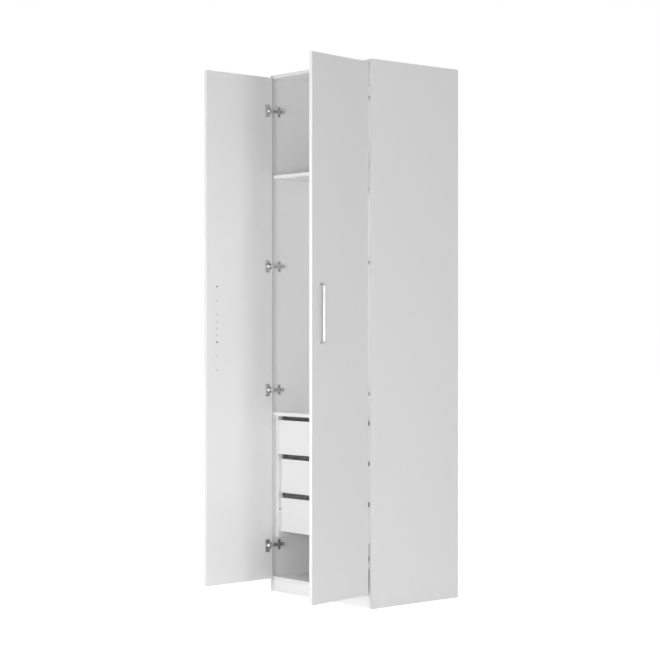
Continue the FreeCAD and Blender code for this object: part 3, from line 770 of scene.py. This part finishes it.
def scaled_top(w, mesh, top, rise, scale):
    """Extrudes the top of a turned shape by a rise and scales the new top."""
    sockets = {"Mesh": mesh, "Selection": top, "Offset Scale": rise, "Individual": False}
    raised = w.add("GeometryNodeExtrudeMesh", sockets, mode="FACES").outputs
    sockets = {"Geometry": raised["Mesh"], "Selection": raised["Top"], "Scale": scale}
    return w.add("GeometryNodeScaleElements", sockets, domain="FACE").outputs[0], raised["Top"]


def moved_up(w, shape, rise):
    """Shape moved up by a rise."""
    sockets = {"Geometry": shape, "Translation": w.upright(rise)}
    return w.add("GeometryNodeTransform", sockets).outputs[0]


def crossed(w, body, radius, share, depth, level):
    """Cuts a driver's cross into a head of a radius, as deep as given from the level of its top."""
    width = w.math("MULTIPLY", w.math("MULTIPLY", radius, 2.0), share)
    length = w.math("MULTIPLY", radius, CROSS_LENGTH)
    bars = w.add("GeometryNodeJoinGeometry")
    for x, y in ((width, length), (length, width)):
        size = w.add("ShaderNodeCombineXYZ", {"X": x, "Y": y, "Z": w.math("MULTIPLY", depth, 2.0)}).outputs[0]
        w.feed(bars.inputs[0], w.add("GeometryNodeMeshCube", {"Size": size}).outputs[0])
    sockets = {"Mesh 1": body, "Mesh 2": moved_up(w, bars.outputs[0], level), "Self Intersection": True}
    return w.add("GeometryNodeMeshBoolean", sockets, operation="DIFFERENCE", solver="EXACT").outputs[0]


def plant(w, given, result, shape, rise):
    """Sets a shape, moved up by a rise, on points along their aims at a seeded spin, with the material."""
    aim = w.add("GeometryNodeInputNamedAttribute", {"Name": "aim"}, data_type="FLOAT_VECTOR").outputs
    along = w.add("FunctionNodeAlignRotationToVector", {"Vector": aim["Attribute"]}, axis="Z").outputs[0]
    spin = w.add("FunctionNodeRandomValue", {2: 0.0, 3: math.tau, "Seed": given["Seed"]}, data_type="FLOAT")
    sockets = {"Axis": (0.0, 0.0, 1.0), "Angle": spin.outputs[1]}
    about = w.add("FunctionNodeAxisAngleToRotation", sockets).outputs[0]
    sockets = {"Rotation": along, "Rotate By": about}
    turned = w.add("FunctionNodeRotateRotation", sockets, rotation_space="LOCAL").outputs[0]
    sockets = {"Points": given["Geometry"], "Instance": moved_up(w, shape, rise), "Rotation": turned}
    copies = w.add("GeometryNodeInstanceOnPoints", sockets).outputs[0]
    solid = w.add("GeometryNodeRealizeInstances", {"Geometry": copies}).outputs[0]
    dressed = w.add("GeometryNodeSetMaterial", {"Geometry": solid, "Material": given["Material"]}).outputs[0]
    w.feed(result["Geometry"], dressed)


@made_once("Cross-head screws")
def screw_tree(name):
    """Geometry Nodes tree of a pan-head cross-recess screw, set on points with its seat at each point."""
    w, given, result = shape_group(name, {"Head Radius": 0.0036, "Head Height": 0.0016,
                                          "Shank Radius": 0.0019, "Length": 0.015, "Recess": 0.16})
    shank, head, height = given["Shank Radius"], given["Head Radius"], given["Head Height"]
    point = w.math("MULTIPLY", shank, POINT_LENGTH)
    tip = w.add("GeometryNodeMeshCone", {"Vertices": ROUND_SIDES, "Radius Top": shank, "Depth": point,
                                         "Radius Bottom": w.math("MULTIPLY", shank, POINT_END)}).outputs
    body, top = scaled_top(w, tip["Mesh"], tip["Top"], w.math("SUBTRACT", given["Length"], point), 1.0)
    body, top = scaled_top(w, body, top, 0.0, w.math("DIVIDE", head, shank))
    for rise, scale in HEAD_STEPS:
        body, top = scaled_top(w, body, top, w.math("MULTIPLY", height, rise), scale)
    depth = w.math("MULTIPLY", height, HEAD_CROSS_DEPTH)
    cut = crossed(w, body, head, given["Recess"], depth, w.math("ADD", given["Length"], height))
    plant(w, given, result, cut, w.math("MULTIPLY", given["Length"], -1.0))
    return w.tree


@made_once("Cam discs")
def disc_tree(name):
    """Geometry Nodes tree of a cam disc with a rim chamfer and a driver's cross, its top at each point."""
    w, given, result = shape_group(name, {"Radius": 0.0075, "Height": 0.012, "Recess": 0.16})
    radius, height = given["Radius"], given["Height"]
    drum = w.add("GeometryNodeMeshCylinder", {"Vertices": DISC_SIDES, "Radius": radius,
                                              "Depth": w.math("MULTIPLY", height, DISC_DRUM)}).outputs
    body, top = drum["Mesh"], drum["Top"]
    for rise, scale in DISC_STEPS:
        body, top = scaled_top(w, body, top, w.math("MULTIPLY", height, rise), scale)
    depth = w.math("MULTIPLY", height, DISC_CROSS_DEPTH)
    cut = crossed(w, body, radius, given["Recess"], depth, w.math("MULTIPLY", height, 0.5))
    to_top = DISC_DRUM / 2.0 + DISC_STEPS[0][0]
    plant(w, given, result, cut, w.math("MULTIPLY", height, -to_top))
    return w.tree


@made_once("Hole liners")
def liner_tree(name):
    """Geometry Nodes tree of the bare board in a drilled hole: a thin cup with its mouth at each point."""
    w, given, result = shape_group(name, {"Radius": 0.0025, "Depth": 0.011, "Wall": 0.0002})
    radius, depth, wall = given["Radius"], given["Depth"], given["Wall"]
    sockets = {"Vertices": ROUND_SIDES, "Radius": radius, "Depth": depth}
    plug = w.add("GeometryNodeMeshCylinder", sockets).outputs
    bore = w.math("SUBTRACT", 1.0, w.math("DIVIDE", wall, radius))
    body, top = scaled_top(w, plug["Mesh"], plug["Top"], 0.0, bore)
    cup, _ = scaled_top(w, body, top, w.math("SUBTRACT", wall, depth), 1.0)
    plant(w, given, result, cup, w.math("MULTIPLY", depth, -0.5))
    return w.tree


def grow(tree, places, values):
    """Plain mesh that a Geometry Nodes tree makes at places, each a seat and an aim, from named inputs."""
    mesh = bpy.data.meshes.new(tree.name)
    mesh.from_pydata([seat for seat, aim in places], [], [])
    aims = mesh.attributes.new("aim", "FLOAT_VECTOR", "POINT")
    aims.data.foreach_set("vector", [number for seat, aim in places for number in aim])
    holder = bpy.data.objects.new(tree.name, mesh)
    bpy.context.scene.collection.objects.link(holder)
    modifier = holder.modifiers.new(tree.name, "NODES")
    modifier.node_group = tree
    for item in tree.interface.items_tree:
        if item.in_out == "INPUT" and item.name in values:
            modifier[item.identifier] = values[item.name]
    grown = bpy.data.meshes.new_from_object(holder.evaluated_get(bpy.context.evaluated_depsgraph_get()))
    holder.modifiers.remove(modifier)
    bpy.data.objects.remove(holder)
    bpy.data.meshes.remove(mesh)
    return grown


def grown_piece(name, meshes, node, material, replace=True):
    """Piece from meshes grown in their place with the doors shut, which are joined and removed."""
    form = bmesh.new()
    for mesh in meshes:
        form.from_mesh(mesh)
        bpy.data.meshes.remove(mesh)
    mesh = to_mesh(form, node, shut_to_rest(node)[0])
    shade(mesh, True)
    add_piece(name, mesh, node, material, replace)


def screw_facts(solid):
    """Seat, aim and sizes of a round-headed screw, read from its solid."""
    centre = centre_of(solid)
    reach = [max(abs(vert.co[axis] - centre[axis]) for vert in solid) for axis in range(3)]
    axis = max(range(3), key=lambda number: reach[number])
    along = [(vert.co[axis] - centre[axis], radius_about(vert, centre, axis)) for vert in solid]
    head_radius = max(radius for level, radius in along)
    wide = [level for level, radius in along if radius > HEAD_RIM * head_radius]
    sign = 1.0 if sum(wide) > 0.0 else -1.0
    tip = min(sign * level for level, radius in along)
    shank = max(radius for level, radius in along if sign * level < tip + TIP_LENGTH)
    head_low = min(sign * level for level in wide)
    head_high = max(sign * level for level, radius in along)
    aim = Vector([sign if number == axis else 0.0 for number in range(3)])
    sizes = {"Head Radius": head_radius, "Head Height": head_high - head_low, "Shank Radius": shank,
             "Length": head_low - tip}
    return centre + aim * head_low, aim, sizes


def screws(node, slot="dark_zinc"):
    """Cross-head screws in place of a CAD node's screw solids."""
    fittings = bpy.context.scene.wardrobe_fittings
    material = screw_steel(slot)
    form = merged_copy(node)
    runs = {}
    for solid in islands(form):
        seat, aim, sizes = screw_facts(solid)
        key = tuple(round(value, SIZE_DIGITS) for value in sizes.values())
        runs.setdefault(key, (sizes, []))[1].append((seat, aim))
    form.free()
    meshes = []
    for sizes, places in runs.values():
        values = dict(sizes, Recess=fittings.recess_share, Seed=fittings.spin_seed, Material=material)
        meshes.append(grow(screw_tree(), places, values))
    grown_piece(node + "_heads", meshes, node, material)


def rim_radii(solid, centre, level):
    """Distances from the upright axis through a centre of a solid's vertices at a level."""
    return [radius_about(vert, centre, UPRIGHT) for vert in solid if abs(vert.co.z - level) < MERGE]


def cam_discs(node):
    """Cam discs in place of a CAD node's disc solids, each with its recessed top at its board's face."""
    fittings = bpy.context.scene.wardrobe_fittings
    form = merged_copy(node)
    places = []
    radius = height = 0.0
    for solid in islands(form):
        centre = centre_of(solid)
        low, high = (corner.z for corner in corners(solid))
        upward = min(rim_radii(solid, centre, high)) <= min(rim_radii(solid, centre, low))
        level = high if upward else low
        places.append((Vector((centre.x, centre.y, level)), Vector((0.0, 0.0, 1.0 if upward else -1.0))))
        radius = max(rim_radii(solid, centre, level))
        height = high - low
    form.free()
    values = {"Radius": radius, "Height": height, "Recess": fittings.recess_share, "Seed": fittings.spin_seed,
              "Material": zinc()}
    grown_piece(node + "_tops", [grow(disc_tree(), places, values)], node, zinc())


def blind_holes(form):
    """Mouths of the blind holes in a shut door's inner face, as a centre, a radius and a depth for each."""
    low, high = corners(form.verts)
    floors = [vert for vert in form.verts if low.y + OFF_PLANE < vert.co.y < high.y - OFF_PLANE]
    holes = []
    for vert in floors:
        for hole in holes:
            if (hole[0].co - vert.co).length < 2.0 * LARGEST_HOLE:
                hole.append(vert)
                break
        else:
            holes.append([vert])
    found = []
    for hole in holes:
        centre = centre_of(hole)
        radius = max(radius_about(vert, centre, THROUGH_DOOR) for vert in hole)
        if radius < LARGEST_HOLE and len(hole) >= FEWEST_POINTS:
            found.append((Vector((centre.x, high.y, centre.z)), radius, high.y - centre.y))
    return found


class WARDROBE_OT_carcass(bpy.types.Operator):
    """Round and face the carcass boards"""

    bl_idname = "wardrobe.carcass"
    bl_label = "Carcass boards"

    def execute(self, context):
        for node in CARCASS_BOARDS:
            rounded_board(node, context.scene.wardrobe_boards.edge_radius)
        return {"FINISHED"}


class WARDROBE_OT_back(bpy.types.Operator):
    """Finish the thin back panels"""

    bl_idname = "wardrobe.back"
    bl_label = "Back panels"

    def execute(self, context):
        boards = context.scene.wardrobe_boards
        material = fibre_material("White lacquered fibre board", boards.back_white)
        for node in BACK_PANELS:
            rounded_board(node, boards.thin_radius, material)
        return {"FINISHED"}


class WARDROBE_OT_unit(bpy.types.Operator):
    """Round and face the boards of the drawer unit"""

    bl_idname = "wardrobe.unit"
    bl_label = "Drawer unit"

    def execute(self, context):
        radius = context.scene.wardrobe_boards.edge_radius
        for node in UNIT_BOARDS:
            rounded_board(node, radius)
        rounded_board("unit_cross_bars", radius, woven())
        return {"FINISHED"}


class WARDROBE_OT_drawers(bpy.types.Operator):
    """Finish the drawers: white fronts and dark woven boxes"""

    bl_idname = "wardrobe.drawers"
    bl_label = "Drawers"

    def execute(self, context):
        boards = context.scene.wardrobe_boards
        lying = drawer_material("Drawer woven grey lying", math.pi / 2.0)
        for number in DRAWERS:
            stem = f"drawer_{number}_"
            # Each front takes the darker white, painted shade
            rounded_board(stem + "front", boards.edge_radius, white=boards.front_white_painted_shade)
            for part in ("side_left", "side_right", "back"):
                rounded_board(stem + part, boards.edge_radius, woven())
            rounded_board(stem + "floor", boards.edge_radius, lying)
        return {"FINISHED"}


class WARDROBE_OT_runners(bpy.types.Operator):
    """Finish the runners of the drawers"""

    bl_idname = "wardrobe.runners"
    bl_label = "Runners"

    def execute(self, context):
        radius = context.scene.wardrobe_fittings.metal_radius
        for node in ("fixed_runners", *(f"drawer_{number}_runners" for number in DRAWERS)):
            softened(node, radius, zinc())
        return {"FINISHED"}


class WARDROBE_OT_doors(bpy.types.Operator):
    """Round and face the doors"""

    bl_idname = "wardrobe.doors"
    bl_label = "Doors"

    def execute(self, context):
        for side in SIDES:
            rounded_board("door_" + side, context.scene.wardrobe_boards.edge_radius)
        return {"FINISHED"}


class WARDROBE_OT_hole_liners(bpy.types.Operator):
    """Show the bare board inside the doors' rows of drilled holes"""

    bl_idname = "wardrobe.hole_liners"
    bl_label = "Hole liners"

    def execute(self, context):
        fittings = context.scene.wardrobe_fittings
        material = core_material()
        for side in SIDES:
            node = "door_" + side
            form = merged_copy(node)
            holes = blind_holes(form)
            form.free()
            if not holes:
                raise RuntimeError("no drilled holes were found in " + node)
            _, radius, depth = holes[0]
            places = [(mouth - LINER_SLACK * OUT_OF_DOOR, OUT_OF_DOOR) for mouth, _, _ in holes]
            values = {"Radius": radius - LINER_SLACK, "Depth": depth - 2.0 * LINER_SLACK,
                      "Wall": fittings.liner_wall, "Seed": fittings.spin_seed, "Material": material}
            liners = [grow(liner_tree(), places, values)]
            grown_piece("hole_liners_" + side, liners, node, material, replace=False)
        return {"FINISHED"}


class WARDROBE_OT_handles(bpy.types.Operator):
    """Finish the bar handles and their screws"""

    bl_idname = "wardrobe.handles"
    bl_label = "Handles"

    def execute(self, context):
        fittings = context.scene.wardrobe_fittings
        material = brushed_material("Satin brushed metal", fittings.satin, UPRIGHT_LINES, SATIN_ROUGH)
        for side in SIDES:
            softened("handle_" + side, fittings.handle_radius, material, SHARP_HANDLE_EDGE)
            screws("handle_screws_" + side)
        return {"FINISHED"}


class WARDROBE_OT_hinges(bpy.types.Operator):
    """Finish the concealed hinges and their screws"""

    bl_idname = "wardrobe.hinges"
    bl_label = "Hinges"

    def execute(self, context):
        fittings = context.scene.wardrobe_fittings
        radius = fittings.metal_radius
        # The cups and links take the lighter copy of the zinc, a painted highlight
        bright = plated_material("Bright zinc plated steel", fittings.zinc_painted_highlight)
        for side in SIDES:
            for part in ("cups", "links"):
                softened(f"hinge_{part}_{side}", radius, bright)
            for part in ("arms", "plates"):
                softened(f"hinge_{part}_{side}", radius, zinc())
            screws("cup_screws_" + side)
        screws("hinge_screws")
        return {"FINISHED"}


class WARDROBE_OT_connectors(bpy.types.Operator):
    """Finish the cam discs, cam bolts, dowels, shelf pins and loose screws"""

    bl_idname = "wardrobe.connectors"
    bl_label = "Connectors"

    def execute(self, context):
        fittings = context.scene.wardrobe_fittings
        cam_discs("cam_discs")
        softened("cam_bolts", fittings.metal_radius, zinc())
        softened("dowels", fittings.plastic_radius, beech_material())
        softened("shelf_pins", fittings.plastic_radius, plastic())
        for node in LOOSE_SCREWS:
            screws(node)
        screws("unit_screws", "black_steel")
        return {"FINISHED"}


class WARDROBE_OT_rail(bpy.types.Operator):
    """Finish the clothes rail and its sockets"""

    bl_idname = "wardrobe.rail"
    bl_label = "Clothes rail"

    def execute(self, context):
        fittings = context.scene.wardrobe_fittings
        chrome = brushed_material("Polished chrome", fittings.chrome, RAIL_LINES, CHROME_ROUGH)
        softened("clothes_rail", fittings.metal_radius, chrome)
        softened("rail_sockets", fittings.plastic_radius, plastic())
        return {"FINISHED"}


class WARDROBE_OT_supports(bpy.types.Operator):
    """Finish the centre foot and the wall bracket"""

    bl_idname = "wardrobe.supports"
    bl_label = "Foot and bracket"

    def execute(self, context):
        fittings = context.scene.wardrobe_fittings
        softened("centre_foot", fittings.plastic_radius, plastic())
        softened("wall_bracket", fittings.metal_radius, zinc())
        return {"FINISHED"}


def seen_rays(w):
    """Light Path mask of the rays that show the background: from the eye, in gloss and through glass."""
    path = w.add("ShaderNodeLightPath").outputs
    seen = w.math("MAXIMUM", path["Is Camera Ray"], path["Is Glossy Ray"])
    return w.math("MAXIMUM", seen, path["Is Transmission Ray"])


def make_world(stage):
    """World that lights evenly and shows plain white."""
    world = bpy.data.worlds.new("Studio")
    world.use_nodes = True
    bpy.context.scene.world = world
    w = Wiring(world.node_tree)
    light = world.node_tree.nodes["Background"]
    light.inputs["Color"].default_value = PURE_WHITE
    light.inputs["Strength"].default_value = stage.sky
    white = w.add("ShaderNodeBackground", {"Color": PURE_WHITE, "Strength": 1.0})
    both = w.add("ShaderNodeMixShader", {0: seen_rays(w), 1: light.outputs[0], 2: white.outputs[0]})
    w.feed(world.node_tree.nodes["World Output"].inputs["Surface"], both.outputs[0])


def make_floor(stage):
    """Plain pale floor that keeps the wardrobe's shadow and is white where none falls."""
    half = stage.floor_size / 2.0
    level = CAD_BOX[0].z - FLOOR_DROP
    mesh = bpy.data.meshes.new("floor")
    ground = [(-half, -half, level), (half, -half, level), (half, half, level), (-half, half, level)]
    mesh.from_pydata(ground, [], [(0, 1, 2, 3)])
    material, w, shader, place = new_material("Pale floor")
    clouds = w.ramp(w.noise(place, FLOOR_CLOUDS), 0.3, 0.7, 0.995, 1.005)
    w.feed(shader.inputs["Base Color"], w.scaled(stage.floor_white, clouds))
    shader.inputs["Roughness"].default_value = FLOOR_ROUGH
    shader.inputs["Specular IOR Level"].default_value = FLOOR_GLOSS
    shader.inputs["Emission Color"].default_value = PURE_WHITE
    w.feed(shader.inputs["Emission Strength"], w.math("MULTIPLY", seen_rays(w), stage.floor_glow))
    mesh.materials.append(material)
    floor = bpy.data.objects.new("floor", mesh)
    bpy.context.scene.collection.objects.link(floor)


def make_lamp(name, place, target, size, power, spread=math.pi):
    """Square softbox at a place, aimed at a target."""
    data = bpy.data.lights.new(name, "AREA")
    data.shape = "SQUARE"
    data.size = size
    data.energy = power
    data.spread = spread
    lamp = bpy.data.objects.new(name, data)
    lamp.location = place
    lamp.rotation_euler = (target - Vector(place)).to_track_quat("-Z", "Y").to_euler()
    lamp.visible_camera = False
    bpy.context.scene.collection.objects.link(lamp)


def make_camera(stage):
    """Level camera that sees the wardrobe as the photograph does."""
    data = bpy.data.cameras.new("Camera")
    data.sensor_width = stage.sensor
    data.lens = FOCAL_PIXELS * stage.sensor / IMAGE_WIDTH
    data.shift_x = (IMAGE_WIDTH / 2.0 - AXIS_COLUMN) / IMAGE_WIDTH
    data.shift_y = (AXIS_ROW - IMAGE_WIDTH / 2.0) / IMAGE_WIDTH
    camera = bpy.data.objects.new("Camera", data)
    camera.location = stage.eye
    camera.rotation_euler = (math.pi / 2.0, 0.0, stage.turn)
    bpy.context.scene.collection.objects.link(camera)
    bpy.context.scene.camera = camera


class WARDROBE_OT_stage(bpy.types.Operator):
    """Set the floor, the lights and the camera"""

    bl_idname = "wardrobe.stage"
    bl_label = "Stage"

    def execute(self, context):
        stage = context.scene.wardrobe_stage
        context.scene.view_settings.view_transform = "Standard"
        make_world(stage)
        make_floor(stage)
        middle = (CAD_BOX[0] + CAD_BOX[1]) / 2.0
        make_lamp("Front softbox", stage.key_place, middle, stage.key_size, stage.key_power)
        make_lamp("Far front softbox", stage.far_place, middle, stage.far_size, stage.far_power)
        make_lamp("Front right softbox", stage.fill_place, middle, stage.fill_size, stage.fill_power)
        make_lamp("Right softbox", stage.side_place, middle, stage.side_size, stage.side_power)
        make_lamp("Rim softbox", stage.rim_place, middle, stage.rim_size, stage.rim_power)
        below = Vector((stage.top_place[0], stage.top_place[1], 0.0))
        make_lamp("Top softbox", stage.top_place, below, stage.top_size, stage.top_power, stage.top_spread)
        make_camera(stage)
        return {"FINISHED"}


OPERATORS = (WARDROBE_OT_carcass, WARDROBE_OT_back, WARDROBE_OT_unit, WARDROBE_OT_drawers,
             WARDROBE_OT_runners, WARDROBE_OT_doors, WARDROBE_OT_hole_liners, WARDROBE_OT_handles,
             WARDROBE_OT_hinges, WARDROBE_OT_connectors, WARDROBE_OT_rail, WARDROBE_OT_supports,
             WARDROBE_OT_stage)
SETTINGS = {"wardrobe_boards": WardrobeBoards, "wardrobe_fittings": WardrobeFittings,
            "wardrobe_stage": WardrobeStage}


class WARDROBE_PT_panel(bpy.types.Panel):
    """Settings and steps of the wardrobe"""

    bl_idname = "WARDROBE_PT_panel"
    bl_label = "Wardrobe"
    bl_space_type = "VIEW_3D"
    bl_region_type = "UI"
    bl_category = "Wardrobe"

    def draw(self, context):
        for group, kind in SETTINGS.items():
            column = self.layout.column(align=True)
            for label in kind.__annotations__:
                column.prop(getattr(context.scene, group), label)
        for operator in OPERATORS:
            self.layout.operator(operator.bl_idname)


def register():
    """Registers the classes and hangs the settings on the scene."""
    for kind in (*SETTINGS.values(), *OPERATORS, WARDROBE_PT_panel):
        bpy.utils.register_class(kind)
    for group, kind in SETTINGS.items():
        setattr(bpy.types.Scene, group, PointerProperty(type=kind))


def unregister():
    """Takes the settings off the scene and unregisters the classes."""
    for group in SETTINGS:
        delattr(bpy.types.Scene, group)
    for kind in (WARDROBE_PT_panel, *reversed(OPERATORS), *SETTINGS.values()):
        bpy.utils.unregister_class(kind)


def main():
    """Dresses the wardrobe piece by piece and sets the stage."""
    register()
    bpy.ops.wardrobe.carcass()
    bpy.ops.wardrobe.back()
    bpy.ops.wardrobe.unit()
    bpy.ops.wardrobe.drawers()
    bpy.ops.wardrobe.runners()
    bpy.ops.wardrobe.doors()
    bpy.ops.wardrobe.hole_liners()
    bpy.ops.wardrobe.handles()
    bpy.ops.wardrobe.hinges()
    bpy.ops.wardrobe.connectors()
    bpy.ops.wardrobe.rail()
    bpy.ops.wardrobe.supports()
    bpy.ops.wardrobe.stage()


if __name__ == "__main__":
    main()
